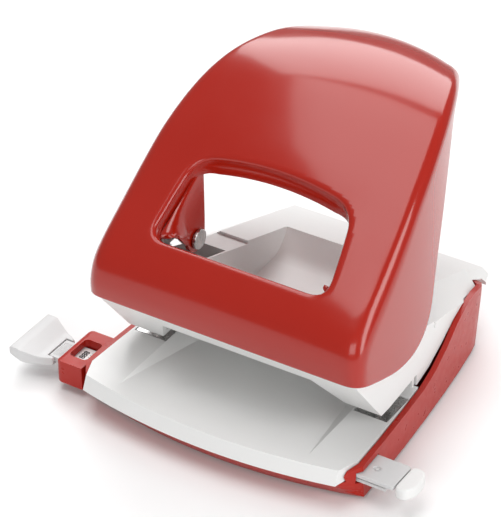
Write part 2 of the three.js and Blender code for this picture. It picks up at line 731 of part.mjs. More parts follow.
function leverLug(side, outer) {
  const edge = drivePinRadius + 2.6;
  const foot = [];
  for (let i = 0; i <= 8; i += 1) {
    const angle = Math.PI + 0.6 + (i / 8) * (Math.PI - 0.6);
    foot.push([punchY + edge * Math.cos(angle), drivePinZ + edge * Math.sin(angle)]);
  }
  const shape = outline([[-42, 72], [-37.5, 60.5], ...foot, [punchY + edge, 67],
    [punchY + edge + 0.5, 90], [-42, 90]]);
  const [x0, x1] = side < 0 ? [-lugX - 1.4, -lugX] : [lugX, lugX + 1.4];
  return common(sideways(shape, x0, x1), outer);
}

function leverEar(side, y, z, radius, innerX) {
  const wall = leverHalfWidth(y, z) - leverSheet + 0.4;
  return side < 0 ? rodX(radius, -wall, -innerX, y, z) : rodX(radius, innerX, wall, y, z);
}


function makeLever() {
  const outer = leverVolume(0, 8);
  const shell = cut(outer, leverVolume(leverSheet, 4));
  const fold = cut(common(windowVolume(leverSheet), outer), windowVolume(0), leverVolume(leverFoldDepth, 3));
  const trimmed = common(shell, sideways(leverSideView(), -70, 70), leverTopView());
  const lugs = [-1, 1].map((side) => leverLug(side, outer));
  const ears = [-1, 1].map((side) => leverEar(side, axleY, axleZ, 4.2, earInnerX));
  const bosses = [-1, 1].map((side) => leverEar(side, punchY, drivePinZ, bossRadius, bossInnerX));
  const axleBore = rodX(axleRadius + slideFit, -axleHalfLength - 0.5, axleHalfLength + 0.5,
    axleY, axleZ);
  const pinBores = [-1, 1].map((side) => {
    const ends = [lugX - 2, bossInnerX + 1.6];
    const [x0, x1] = side < 0 ? [-ends[1], -ends[0]] : ends;
    return rodX(drivePinRadius + slideFit, x0, x1, punchY, drivePinZ);
  });
  return cut(join(cut(trimmed, windowVolume(0)), fold, ...lugs, ...ears, ...bosses), axleBore, ...pinBores);
}

// A headed pin; it stands along X with its head towards the middle of the punch.
function makeDrivePin(side) {
  const inner = lugX - fit;
  const head = side < 0 ? rodX(drivePinHeadRadius, -inner, -inner + drivePinHeadDepth, 0, 0, 28)
    : rodX(drivePinHeadRadius, inner - drivePinHeadDepth, inner, 0, 0, 28);
  const tail = bossInnerX + 1.3;
  const shank = side < 0 ? rodX(drivePinRadius, -tail, -inner + 0.5, 0, 0)
    : rodX(drivePinRadius, inner - 0.5, tail, 0, 0);
  return toGeometry(join(head, shank));
}

// ---------------------------------------------------------------- punch, guide and spring
function makePunch() {
  const bottom = headBottomZ;
  const head = block([-headWidth / 2, headWidth / 2], [-5.2, 6.2], [bottom, bottom + headHeight]);
  const crown = sideways(softened([[-5.2, bottom], [6.2, bottom], [6.2, bottom + headHeight],
    [-5.2, bottom + headHeight]], 2.5), -10, 10);
  const slot = sideways(softened([[-2.5, drivePinZ - 2.35], [3.4, drivePinZ - 2.35],
    [3.4, drivePinZ + 2.35], [-2.5, drivePinZ + 2.35]], 1.6), -10, 10);
  const shaft = rodZ(punchRadius, punchTipZ, bottom + 0.5, 0, 0, 32);
  const notch = lengthways(outline([[0, punchTipZ + 1.2], [2, punchTipZ - 1], [-2, punchTipZ - 1]]), -5, 5);
  return toGeometry(cut(join(common(head, crown), shaft), slot, notch));
}

function makeGuide() {
  const half = guideSize / 2;
  const z0 = pocketFloorZ + fit;
  const foot = block([-6.4, 4], [-half - 3, half + 3], [z0, z0 + 1.6]);
  const tower = toSolid(raised(roundRect(-1.2, 0, guideSize - 2.2, guideSize, 3), z0, guideTopZ));
  const bore = rodZ(punchRadius + slideFit, 0, 60, 0, 0, 32);
  return cut(join(foot, tower), bore);
}

class Helix extends THREE.Curve {
  constructor(radius, z0, z1, turns) {
    super();
    Object.assign(this, { radius, z0, z1, turns });
  }

  getPoint(t, target = new THREE.Vector3()) {
    const angle = t * this.turns * Math.PI * 2;
    return target.set(this.radius * Math.cos(angle), this.radius * Math.sin(angle),
      THREE.MathUtils.lerp(this.z0, this.z1, t));
  }
}

const springBottomZ = guideTopZ + fit;
const springTopZ = headBottomZ - fit;

function makeSpring() {
  const wireShape = new THREE.Shape();
  wireShape.absarc(0, 0, springWire, 0, Math.PI * 2);
  const path = new Helix(springRadius, springBottomZ + springWire, springTopZ - springWire, springCoils);
  return new THREE.ExtrudeGeometry(new THREE.Shape(wireShape.getPoints(3).slice(0, -1)), {
    extrudePath: path, steps: springCoils * 12, bevelEnabled: false,
  });
}

// ---------------------------------------------------------------- guide rail and its housing
const railBottomZ = railTopZ - railThickness;

function makeRail() {
  const bar = block([stopFaceX + 2.4, railInnerX], [railY - railWidth / 2, railY + railWidth / 2],
    [railBottomZ, railTopZ]);
  const teeth = [];
  for (let x = -20; x < railInnerX - 4; x += 4) {
    teeth.push(block([x, x + 1], [railY - 6, railY - railWidth / 2 + 0.9], [0, 20]));
  }
  return cut(bar, ...teeth);
}

function makeStopHead() {
  const side = softened([[stopEndX, railBottomZ + 1.6], [stopEndX, stopTopZ], [stopEndX + 3.4, stopTopZ],
    [stopFaceX + 0.4, railTopZ + 0.3], [housingOuterX - 3.2, railTopZ + 0.3],
    [housingOuterX - 3.2, railBottomZ - 0.8], [stopFaceX - 3.5, railBottomZ - 0.6]], 0.9, 3);
  const plan = outline([[stopEndX - 1, railY - stopHalfWidth], [stopEndX + 4, railY - stopHalfWidth],
    [housingOuterX - 3.2, railY - railWidth / 2 - 1.2], [housingOuterX - 3.2, railY + railWidth / 2 + 1.2],
    [stopEndX + 4, railY + stopHalfWidth], [stopEndX - 1, railY + stopHalfWidth]]);
  const bulk = common(lengthways(side, railY - 20, railY + 20), toSolid(raised(plan, 0, 20)));
  const socket = block([stopFaceX + 2.4 - fit, 0], [railY - railWidth / 2 - fit, railY + railWidth / 2 + fit],
    [railBottomZ - fit, 20]);
  return cut(bulk, socket);
}

function makeScale() {
  return block([housingOuterX - 1, 26], [railY - railWidth / 2 + 1.2, railY + railWidth / 2 - 0.6],
    [railTopZ + 0.1, railTopZ + 0.1 + scaleThickness]);
}

function makeHousing() {
  const innerX = -baseHalfWidth(railY - housingHalfWidth) - fit;
  const width = 2 * housingHalfWidth;
  const centreX = (housingOuterX + innerX) / 2;
  const length = innerX - housingOuterX;
  const plan = roundRect(centreX + 2, railY, length + 4, width, 2.6);
  const body = toSolid(raised(plan, housingBottomZ, housingTopZ));
  const dome = lengthways(softened([[housingOuterX, -2], [20, -2], [20, housingTopZ],
    [housingOuterX, housingTopZ]], 2.2), -90, 0);
  const trim = block([innerX, 20], [-90, 0], [-5, 20]);
  const opening = roundRect(housingOuterX + 5.7, railY - 0.2, 6.6, railWidth + 0.2, 1.4);
  const view = toSolid(raised(opening, railTopZ, 20));
  const hollowHalf = housingHalfWidth - 1.6;
  const below = block([housingOuterX + 1.6, 20], [railY - hollowHalf, railY + hollowHalf],
    [housingBottomZ - 1, railSlotZ0 - 1.2]);
  return cut(common(body, dome), trim, view, below, railTunnel(housingOuterX - 9, -40));
}

// ---------------------------------------------------------------- lock slide
function makeLock() {
  const half = lockWidth / 2;
  const top = toSolid(raised(roundRect((lockInnerX + lockStepX + 1) / 2, lockY, lockStepX + 1 - lockInnerX,
    lockWidth, 0.8), lockTopZ - lockPlate, lockTopZ));
  const lower = block([lockInnerX, lockStepX - 2], [lockY - half + 0.6, lockY + half - 0.6],
    [lockTopZ - 3.4, lockTopZ - 2.2]);
  const web = block([lockInnerX + 1, lockStepX - 4], [lockY - 1.5, lockY + half - 1.2],
    [lockTopZ - 2.6, lockTopZ - 1]);
  const dimple = rodZ(1.2, lockTopZ - 0.5, lockTopZ + 1, lockStepX - 7.4, lockY - 0.4);
  const stud = rodZ(0.6, lockTopZ - 1, lockTopZ - 0.1, lockStepX - 7.4, lockY - 0.4, 16);
  return join(cut(join(top, lower, web), dimple), stud);
}

function makeLockPad() {
  const half = lockWidth / 2 + 0.2;
  const plan = softened([[lockStepX + 1 + fit, lockY - half], [lockEndX - 2, lockY - half],
    [lockEndX, lockY - half + 4], [lockEndX, lockY + half - 3], [lockEndX - 1.6, lockY + half],
    [lockStepX + 1 + fit, lockY + half]], 1.6);
  return toSolid(raised(plan, lockTopZ - 3.6, lockTopZ + 0.3));
}

// ---------------------------------------------------------------- assembly
function named(name, shape, material, x = 0, y = 0, z = 0) {
  const geometry = shape.isBufferGeometry ? shape : toGeometry(shape);
  const mesh = new THREE.Mesh(geometry, material);
  mesh.name = name;
  mesh.position.set(x, y, z);
  return mesh;
}

const group = new THREE.Group();
const sides = [['left', -1], ['right', 1]];

group.add(named('base_shell', makeBase(), redPlastic()));
group.add(named('paper_deck', makeDeck(), whitePlastic()));
group.add(named('body_cover', makeCover(), whitePlastic()));
group.add(named('rail_housing', makeHousing(), redPlastic()));
const axle = rodX(axleRadius, -axleHalfLength, axleHalfLength, 0, 0);
group.add(named('pivot_axle', axle, steel(), 0, axleY, axleZ));

const lever = new THREE.Group();
lever.add(named('lever_hood', makeLever(), redPaint()));
sides.forEach(([word, side]) => {
  lever.add(named(`drive_pin_${word}`, makeDrivePin(side), steel(), 0, punchY, drivePinZ));
});
group.add(lever);

sides.forEach(([word, side]) => {
  const x = (side * holeSpacing) / 2;
  group.add(named(`die_plate_${word}`, makeDie(side), steel()));
  const guide = named(`punch_guide_${word}`, makeGuide(), steel(), x, punchY, 0);
  guide.rotation.z = side < 0 ? Math.PI : 0;
  group.add(guide);
  group.add(named(`punch_${word}`, makePunch(), steel(), x, punchY, 0));
  group.add(named(`return_spring_${word}`, makeSpring(), steel(), x, punchY, 0));
});

const rail = new THREE.Group();
rail.add(named('guide_rail', makeRail(), greyPlastic()));
rail.add(named('paper_stop_head', makeStopHead(), greyPlastic()));
rail.add(named('rail_scale', makeScale(), label()));
group.add(rail);

group.add(named('lock_slide', makeLock(), greyPlastic()));
group.add(named('lock_pad', makeLockPad(), whitePlastic()));

const chipCover = new THREE.Group();
chipCover.add(named('chip_cover', makeChipCover(), darkPlastic()));
group.add(chipCover);
sides.forEach(([word, side]) => {
  const inner = chipHalfWidth - 8;
  const [x0, x1] = side < 0 ? [-chipHalfWidth - 2, -inner] : [inner, chipHalfWidth + 2];
  group.add(named(`chip_cover_pin_${word}`, rodX(chipPinRadius, x0, x1, 0, 0, 16), steel(),
    0, chipPinY, chipPinZ));
});

screwPlaces.forEach(([x, y], i) => {
  group.add(named(`base_screw_${i + 1}`, makeScrew(), steel(), x, y, baseBottomZ + 0.1));
});
footPlaces.forEach(([x, y], i) => {
  group.add(named(`foot_${i + 1}`, makeFoot(), rubber(), x, y, 0));
});

export default group;
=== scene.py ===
"""Two-hole desk punch: its pieces, finishes, floor, lights and camera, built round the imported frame."""
import json
import math

import bmesh
import bpy
import numpy as np
from mathutils import Matrix, Vector

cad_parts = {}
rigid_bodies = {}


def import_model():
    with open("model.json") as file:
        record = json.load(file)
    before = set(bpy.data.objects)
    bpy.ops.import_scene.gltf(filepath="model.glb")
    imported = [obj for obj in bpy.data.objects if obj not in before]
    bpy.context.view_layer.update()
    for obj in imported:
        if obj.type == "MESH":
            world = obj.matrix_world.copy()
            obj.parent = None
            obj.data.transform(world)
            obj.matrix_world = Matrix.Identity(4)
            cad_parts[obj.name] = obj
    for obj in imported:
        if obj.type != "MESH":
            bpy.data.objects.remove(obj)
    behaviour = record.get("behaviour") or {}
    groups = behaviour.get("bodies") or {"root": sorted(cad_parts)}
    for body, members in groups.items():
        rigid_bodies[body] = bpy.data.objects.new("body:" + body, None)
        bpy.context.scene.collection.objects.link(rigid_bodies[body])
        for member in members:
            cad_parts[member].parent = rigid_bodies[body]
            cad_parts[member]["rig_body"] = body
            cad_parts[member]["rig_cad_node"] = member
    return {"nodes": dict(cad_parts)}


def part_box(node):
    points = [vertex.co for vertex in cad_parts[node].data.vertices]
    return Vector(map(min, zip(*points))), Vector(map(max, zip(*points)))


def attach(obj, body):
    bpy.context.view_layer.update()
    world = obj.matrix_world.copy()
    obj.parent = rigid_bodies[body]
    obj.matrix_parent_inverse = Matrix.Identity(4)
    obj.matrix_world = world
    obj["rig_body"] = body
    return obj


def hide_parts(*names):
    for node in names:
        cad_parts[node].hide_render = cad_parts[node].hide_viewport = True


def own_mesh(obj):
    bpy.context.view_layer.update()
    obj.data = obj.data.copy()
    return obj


bl_info = {
    "name": "Desk Punch",
    "version": (1, 0, 0),
    "blender": (4, 5, 0),
    "location": "View3D > Sidebar > Desk Punch",
    "description": "Builds a two-hole desk punch with a windowed lever",
    "category": "Add Mesh",
}

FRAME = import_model()
MM = 0.001
MERGE_DISTANCE = 0.00001
FLAT_ANGLE = math.radians(0.4)

# The lever's outline along its middle, front foot to rear edge, as (y, z) in millimetres.
SPINE = [
    (-53.4, 33), (-54.2, 40), (-54.4, 46), (-52.4, 53), (-46.9, 59.6), (-37.5, 67.8), (-24.5, 78.6),
    (-13, 87.2), (2, 95), (16, 99.2), (30, 100), (40, 98.2), (49, 94.6), (60, 88),
]
# The lower and rear edge of the lever's side wall, as (y, z).
WALL_EDGE = [
    (-80, 40.2), (-60, 40.2), (-52.6, 40.0), (-46, 37.9), (-39, 35.6), (-30, 33.3), (-20, 33), (-12, 36),
    (-7, 41.5), (-3.5, 50), (-0.3, 57.3), (4.1, 65.6), (9.8, 76.2), (15.6, 85.3), (21, 91.4), (27, 93),
    (38, 92.2), (60, 84),
]
# Where the lever's rays start, the ends of its window, its pivot and its drive pin, as (y, z).
FOCUS = (-15.0, 25.0)
WINDOW_LOW = (-43.9, 60.4)
WINDOW_HIGH = (-21.8, 79.5)
PIVOT = (-47, 45)
DRIVE_PIN = (-25.5, 51.5)
# The side wall leans in with its height over the foot, and tapers towards the rear.
WALL_FRONT_Y = -52.6
WALL_FOOT_Z = 40.2
WALL_DRAFT = 0.055
WALL_TAPER = 2.2e-5
# The scale's figures and their places along the rail, and the line that they stand on.
SCALE_FIGURES = (("888", -56.2), ("A6", -40.0), ("A5", -24.0), ("US", -8.0), ("A4", 8.0), ("888", 16.0))
SCALE_Y = -45.6


# ---------------------------------------------------------------- settings
def colour(name, description, default):
    return bpy.props.FloatVectorProperty(
        name=name, description=description, subtype="COLOR", size=3, min=0, max=1, default=default)


class PunchLeverSettings(bpy.types.PropertyGroup):
    """Sizes of the pressed lever, in millimetres unless the name says otherwise"""

    sheet: bpy.props.FloatProperty(name="Sheet", description="Thickness of the sheet metal", default=1.2)
    corner: bpy.props.FloatProperty(
        name="Corner", description="Radius between panel and wall", default=5.2)
    crown: bpy.props.FloatProperty(
        name="Crown", description="Rise of the middle over the sides", default=3.0)
    wall_x: bpy.props.FloatProperty(
        name="Wall", description="Half width at the lower edge", default=48.6)
    fold: bpy.props.FloatProperty(
        name="Fold", description="Depth of the window's folded edge", default=5.0)
    bend: bpy.props.FloatProperty(name="Bend", description="Outer radius of that fold", default=1.5)
    window_low: bpy.props.FloatProperty(
        name="Window foot", description="Half width low down", default=31.0)
    window_high: bpy.props.FloatProperty(
        name="Window head", description="Half width high up", default=27.2)
    window_corner: bpy.props.FloatProperty(name="Window corner", description="Corner reach", default=6.5)
    window_bow: bpy.props.FloatProperty(
        name="Window bow", description="Rise of the window's upper edge", default=4.0)
    lean: bpy.props.FloatProperty(
        name="Lean", description="Reach of the upper flange into the window", default=3.2)
    rows: bpy.props.IntProperty(name="Rows", description="Rows along the spine", default=150)


class PunchFinishSettings(bpy.types.PropertyGroup):
    """Edge rounding and smooth shading shared by the moulded pieces"""

    edge: bpy.props.FloatProperty(name="Edge", description="Rounding of moulded edges, mm", default=0.3)
    fine_edge: bpy.props.FloatProperty(
        name="Fine edge", description="Rounding of small parts, mm", default=0.15)
    smooth_angle: bpy.props.FloatProperty(
        name="Smooth angle", description="Faces below this angle shade as one", subtype="ANGLE",
        default=math.radians(32))


class PunchColourSettings(bpy.types.PropertyGroup):
    """Colour of each finish"""

    red_lacquer: colour("Red lacquer", "Lever", (0.37, 0.012, 0.004))
    red_plastic: colour("Red plastic", "Base and rail housing", (0.40, 0.014, 0.006))
    white_plastic: colour("White plastic", "Cover, deck and finger pad", (0.77, 0.77, 0.76))
    grey_plastic: colour("Grey plastic", "Rail, paper stop and lock slide", (0.62, 0.62, 0.62))
    dark_plastic: colour("Dark plastic", "Chip cover", (0.035, 0.035, 0.038))
    steel: colour("Steel", "Pins, punches, guides, dies, springs and screws", (0.62, 0.62, 0.61))
    scale_label: colour("Scale label", "Strip under the figures", (0.86, 0.86, 0.85))
    ink: colour("Ink", "Figures and ticks", (0.012, 0.012, 0.013))
    rubber: colour("Rubber", "Feet", (0.025, 0.025, 0.026))


class PunchStageSettings(bpy.types.PropertyGroup):
    """Camera and light"""

    azimuth: bpy.props.FloatProperty(
        name="Azimuth", description="Turn to the right", subtype="ANGLE", default=math.radians(32.3))
    elevation: bpy.props.FloatProperty(
        name="Elevation", description="Height angle", subtype="ANGLE", default=math.radians(34.12))
    roll: bpy.props.FloatProperty(
        name="Roll", description="Tilt of the picture", subtype="ANGLE", default=math.radians(-0.48))
    distance: bpy.props.FloatProperty(
        name="Distance", description="From the target", subtype="DISTANCE", default=0.82278)
    lens: bpy.props.FloatProperty(
        name="Lens", description="Focal length on a 36 mm sensor", default=181.0)
    key: bpy.props.FloatProperty(name="Key", description="Power of the light behind, watts", default=9.4)
    ambient: bpy.props.FloatProperty(
        name="Ambient", description="Strength of the pale surroundings", default=0.3)


# ---------------------------------------------------------------- scene helpers
def deselect():
    if bpy.context.object and bpy.context.object.mode != "OBJECT":
        bpy.ops.object.mode_set(mode="OBJECT")
    bpy.ops.object.select_all(action="DESELECT")


def pick(piece):
    deselect()
    piece.select_set(True)
    bpy.context.view_layer.objects.active = piece


def link_mesh(name, verts, faces):
    mesh = bpy.data.meshes.new(name)
    mesh.from_pydata([tuple(v) for v in verts], [], [tuple(f) for f in faces])
    mesh.validate()
    piece = bpy.data.objects.new(name, mesh)
    bpy.context.scene.collection.objects.link(piece)
    return piece


def apply_all(piece):
    pick(piece)
    for modifier in list(piece.modifiers):
        bpy.ops.object.modifier_apply(modifier=modifier.name)


def clean(piece):
    pick(piece)
    bpy.ops.object.mode_set(mode="EDIT")
    bpy.ops.mesh.select_all(action="SELECT")
    bpy.ops.mesh.remove_doubles(threshold=MERGE_DISTANCE)
    bpy.ops.mesh.normals_make_consistent(inside=False)
    bpy.ops.object.mode_set(mode="OBJECT")


def bevel(piece, width_mm, segments=2, angle=28):
    modifier = piece.modifiers.new("edge", "BEVEL")
    modifier.width = width_mm * MM
    modifier.segments = segments
    modifier.limit_method = "ANGLE"
    modifier.angle_limit = math.radians(angle)
    modifier.use_clamp_overlap = True
    modifier.harden_normals = False
    modifier.miter_outer = "MITER_ARC"
    apply_all(piece)


def shade(piece, angle):
    pick(piece)
    bpy.ops.object.shade_smooth_by_angle(angle=angle)


def join_pieces(pieces, name):
    deselect()
    for piece in pieces:
        piece.select_set(True)
    bpy.context.view_layer.objects.active = pieces[0]
    if len(pieces) > 1:
        bpy.ops.object.join()
    pieces[0].name = name
    return pieces[0]


def refined_copy(node, name, edge_mm, segments=2, angle=28):
    """A cleaned copy of a CAD node with its sharp edges rounded."""
    source = FRAME["nodes"][node]
    piece = source.copy()
    piece.data = source.data.copy()
    piece.name = name
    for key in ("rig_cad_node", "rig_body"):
        if key in piece:
            del piece[key]
    piece.parent = None
    bpy.context.scene.collection.objects.link(piece)
    piece.data.materials.clear()
    pick(piece)
    if piece.data.has_custom_normals:
        bpy.ops.mesh.customdata_custom_splitnormals_clear()
    clean(piece)
    bpy.ops.object.mode_set(mode="EDIT")
    bpy.ops.mesh.select_all(action="SELECT")
    bpy.ops.mesh.dissolve_limited(angle_limit=FLAT_ANGLE)
    bpy.ops.object.mode_set(mode="OBJECT")
    if edge_mm > 0:
        bevel(piece, edge_mm, segments, angle)
        piece["bevelled"] = True
    return piece


def settle(piece, body, nodes, material, angle=None):
    """Gives a finished piece its shading, material and body, and hides the CAD nodes that it stands for."""
    finish = bpy.context.scene.punch_finish
    shade(piece, angle or finish.smooth_angle)
    if piece.get("bevelled"):
        del piece["bevelled"]
        weighted = piece.modifiers.new("normals", "WEIGHTED_NORMAL")
        weighted.keep_sharp = True
        apply_all(piece)
    piece.data.materials.clear()
    piece.data.materials.append(material)
    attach(piece, body)
    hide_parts(*nodes)
    return piece


# ---------------------------------------------------------------- shader groups
def new_group(name, inputs, outputs):
    group = bpy.data.node_groups.new(name, "ShaderNodeTree")
    for label, kind, default in inputs:
        socket = group.interface.new_socket(name=label, in_out="INPUT", socket_type=kind)
        if default is not None:
            socket.default_value = default
    for label, kind in outputs:
        group.interface.new_socket(name=label, in_out="OUTPUT", socket_type=kind)
    return group, group.nodes.new("NodeGroupInput"), group.nodes.new("NodeGroupOutput")


def noise(tree, vector, scale, detail=3.0, rough=0.5):
    node = tree.nodes.new("ShaderNodeTexNoise")
    node.inputs["Scale"].default_value = scale
    node.inputs["Detail"].default_value = detail
    node.inputs["Roughness"].default_value = rough
    tree.links.new(vector, node.inputs["Vector"])
    return node.outputs["Fac"]


def spread(tree, value, low, high, from_low=0.3, from_high=0.7):
    node = tree.nodes.new("ShaderNodeMapRange")
    node.inputs["From Min"].default_value = from_low
    node.inputs["From Max"].default_value = from_high
    node.inputs["To Min"].default_value = low
    node.inputs["To Max"].default_value = high
    tree.links.new(value, node.inputs["Value"])
    return node.outputs["Result"]


def surface_group(name, patches, patch_share, film, film_range, relief, stretch=None):
    """Patchy colour, uneven roughness and fine relief, each from a noise of given scale and detail."""
    known = bpy.data.node_groups.get(name)
    if known:
        return known
    group, inside, outside = new_group(
        name,
        [("Vector", "NodeSocketVector", None), ("Color", "NodeSocketColor", (0.8, 0.8, 0.8, 1)),
         ("Shade", "NodeSocketColor", (0.7, 0.7, 0.7, 1)), ("Roughness", "NodeSocketFloat", 0.4)],
        [("Color", "NodeSocketColor"), ("Roughness", "NodeSocketFloat"), ("Height", "NodeSocketFloat")])
    plain = inside.outputs["Vector"]
    drawn = plain
    if stretch:
        mapping = group.nodes.new("ShaderNodeMapping")
        mapping.inputs["Scale"].default_value = stretch
        group.links.new(plain, mapping.inputs["Vector"])
        drawn = mapping.outputs["Vector"]
    mix = group.nodes.new("ShaderNodeMix")
    mix.data_type = "RGBA"
    group.links.new(spread(group, noise(group, plain, *patches), 0.0, patch_share), mix.inputs["Factor"])
    group.links.new(inside.outputs["Color"], mix.inputs[6])
    group.links.new(inside.outputs["Shade"], mix.inputs[7])
    group.links.new(mix.outputs[2], outside.inputs["Color"])
    add = group.nodes.new("ShaderNodeMath")
    add.operation = "ADD"
    group.links.new(inside.outputs["Roughness"], add.inputs[0])
    group.links.new(spread(group, noise(group, drawn, *film), *film_range), add.inputs[1])
    group.links.new(add.outputs[0], outside.inputs["Roughness"])
    group.links.new(noise(group, drawn, *relief), outside.inputs["Height"])
    return group


def moulded_group():
    """Fine mould texture: a slightly mottled colour, uneven roughness and a shallow grain."""
    return surface_group("punch_moulded", (34.0, 2.0), 0.35, (420.0, 2.0), (-0.05, 0.06), (1300.0, 1.0))


def lacquer_group():
    """Sprayed lacquer: a faint orange peel and a barely uneven gloss."""
    return surface_group("punch_lacquer", (22.0, 3.0), 0.5, (75.0, 4.0, 0.6), (-0.03, 0.05), (520.0, 1.5))


def brushed_group():
    """Drawn steel: fine lines along one direction and patches of differing brightness."""
    lines = (3200.0, 2.0)
    return surface_group("punch_brushed", (260.0, 3.0), 0.8, lines, (-0.06, 0.1), lines, (1.0, 1.0, 0.08))


def make_material(finish, group, shade_color, roughness, relief_depth, metallic=0.0, coat=0.0, specular=0.5):
    """A finish in its own colour, with darker patches, a roughness and a relief in metres."""
    name = f"{finish}_finish"
    known = bpy.data.materials.get(name)
    if known:
        return known
    color = tuple(getattr(bpy.context.scene.punch_colours, finish))
    material = bpy.data.materials.new(name)
    material.use_nodes = True
    material.diffuse_color = (*color, 1)
    tree = material.node_tree
    shader = tree.nodes["Principled BSDF"]
    shader.inputs["Metallic"].default_value = metallic
    shader.inputs["Coat Weight"].default_value = coat
    shader.inputs["Coat Roughness"].default_value = 0.1
    shader.inputs["Specular IOR Level"].default_value = specular
    place = tree.nodes.new("ShaderNodeTexCoord")
    effect = tree.nodes.new("ShaderNodeGroup")
    effect.node_tree = group
    effect.inputs["Color"].default_value = (*color, 1)
    effect.inputs["Shade"].default_value = (*shade_color, 1)
    effect.inputs["Roughness"].default_value = roughness
    tree.links.new(place.outputs["Object"], effect.inputs["Vector"])
    tree.links.new(effect.outputs["Color"], shader.inputs["Base Color"])
    tree.links.new(effect.outputs["Roughness"], shader.inputs["Roughness"])
    relief = tree.nodes.new("ShaderNodeBump")
    relief.inputs["Strength"].default_value = 1.0
    relief.inputs["Distance"].default_value = relief_depth
    tree.links.new(effect.outputs["Height"], relief.inputs["Height"])
    tree.links.new(relief.outputs["Normal"], shader.inputs["Normal"])
    return material


def red_lacquer():
    return make_material(
        "red_lacquer", lacquer_group(), (0.34, 0.010, 0.003), 0.2, 0.000003, coat=0.55, specular=0.3)


def red_plastic():
    return make_material("red_plastic", moulded_group(), (0.365, 0.012, 0.005), 0.32, 0.000002, specular=0.3)


def white_plastic():
    return make_material("white_plastic", moulded_group(), (0.73, 0.73, 0.725), 0.42, 0.000003)


def grey_plastic():
    return make_material("grey_plastic", moulded_group(), (0.57, 0.57, 0.575), 0.4, 0.000003)


def dark_plastic():
    return make_material("dark_plastic", moulded_group(), (0.025, 0.025, 0.027), 0.55, 0.00002)


def steel():
    return make_material("steel", brushed_group(), (0.5, 0.5, 0.5), 0.26, 0.000002, metallic=1.0)


def scale_label():
    return make_material("scale_label", moulded_group(), (0.82, 0.82, 0.81), 0.45, 0.000004)


def ink():
    return make_material("ink", moulded_group(), (0.02, 0.02, 0.02), 0.5, 0.000004)


def rubber():
    return make_material("rubber", moulded_group(), (0.035, 0.035, 0.036), 0.8, 0.00003)


# ---------------------------------------------------------------- lever geometry
def spline_at(points, t):
    """Places on a smooth curve through the points, with t from 0 to 1."""
    p = np.asarray(points, float)
    n = len(p)
    u = np.clip(np.asarray(t, float), 0, 1) * (n - 1)
    i = np.clip(np.floor(u).astype(int), 0, n - 2)
    w = (u - i)[:, None]
    p0, p1 = p[np.maximum(i - 1, 0)], p[i]
    p2, p3 = p[i + 1], p[np.minimum(i + 2, n - 1)]
    v0, v1 = (p2 - p0) / 2, (p3 - p1) / 2
    cubic = (2 * p1 - 2 * p2 + v0 + v1) * w ** 3
    square = (-3 * p1 + 3 * p2 - 2 * v0 - v1) * w ** 2
    return cubic + square + v0 * w + p1


def even_parameters(points, count):
    """Parameters that step evenly along the curve."""
    t = np.linspace(0, 1, 2000)
    at = spline_at(points, t)
    run = np.concatenate([[0], np.cumsum(np.linalg.norm(np.diff(at, axis=0), axis=1))])
    return np.interp(np.linspace(0, run[-1], count), run, t)


def wall_x(settings, y, z):
    """Half width of the lever over a place in its side view, in millimetres."""
    along = np.maximum(0, y - WALL_FRONT_Y)
    return settings.wall_x - WALL_DRAFT * (z - WALL_FOOT_Z) - WALL_TAPER * along ** 3


def wall_along(settings, ray, rho):
    return wall_x(settings, FOCUS[0] + ray[0] * rho, FOCUS[1] + ray[1] * rho)


def smooth_step(v, low, high):
    t = np.clip((v - low) / (high - low), 0, 1)
    return t * t * (3 - 2 * t)


def lever_grid(settings):
    """The lever's outer skin as a grid of points, row by row from the front foot to the rear."""
    panel, corner, wall = 30, 12, 44
    wall_foot, smoothing = 6, 4
    rows = even_parameters(SPINE, settings.rows)
    spine = spline_at(SPINE, rows)
    grid = []
    for v, (sy, sz) in zip(rows, spine):
        ray = np.array([sy - FOCUS[0], sz - FOCUS[1]])
        full = np.linalg.norm(ray)
        ray = ray / full
        crown = settings.crown * float(smooth_step(v, 0.15, 0.6))
        shoulder = full - crown - settings.corner
        flat = wall_along(settings, ray, shoulder) - settings.corner
        half = []
        for k in range(panel):
            s = k / panel
            half.append((flat * s, full - crown * s * s))
        for k in range(corner):
            a = k / corner * math.pi / 2
            half.append((flat + settings.corner * math.sin(a),
                         full - crown - settings.corner * (1 - math.cos(a))))
        for k in range(wall + 1):
            rho = shoulder + (wall_foot - shoulder) * k / wall
            half.append((wall_along(settings, ray, rho), rho))
        half = np.array(half)
        for _ in range(smoothing):
            inner = half[1:-1].copy()
            half[1:-1] = (half[:-2] + 2 * inner + half[2:]) / 4
        right = [(x, FOCUS[0] + ray[0] * r, FOCUS[1] + ray[1] * r) for x, r in half]
        left = [(-x, y, z) for x, y, z in right[:0:-1]]
        grid.append(left + right)
    return np.array(grid)


def rounded_outline(points, reach, steps=8):
    """A closed outline with each corner rounded."""
    out = []
    n = len(points)
    for i in range(n):
        here, before, after = (np.array(points[j % n], float) for j in (i, i - 1, i + 1))
        a = here + (before - here) * min(reach / np.linalg.norm(before - here), 0.48)
        b = here + (after - here) * min(reach / np.linalg.norm(after - here), 0.48)
        for k in range(steps + 1):
            t = k / steps
            out.append((1 - t) ** 2 * a + 2 * t * (1 - t) * here + t * t * b)
    return np.array(out)


def nearest_on(point, outline):
    """Nearest place on a closed outline."""
    ahead = np.roll(outline, -1, axis=0) - outline
    share = ((point - outline) * ahead).sum(1) / np.maximum((ahead * ahead).sum(1), 1e-12)
    place = outline + ahead * np.clip(share, 0, 1)[:, None]
    return place[np.argmin(np.linalg.norm(place - point, axis=1))]


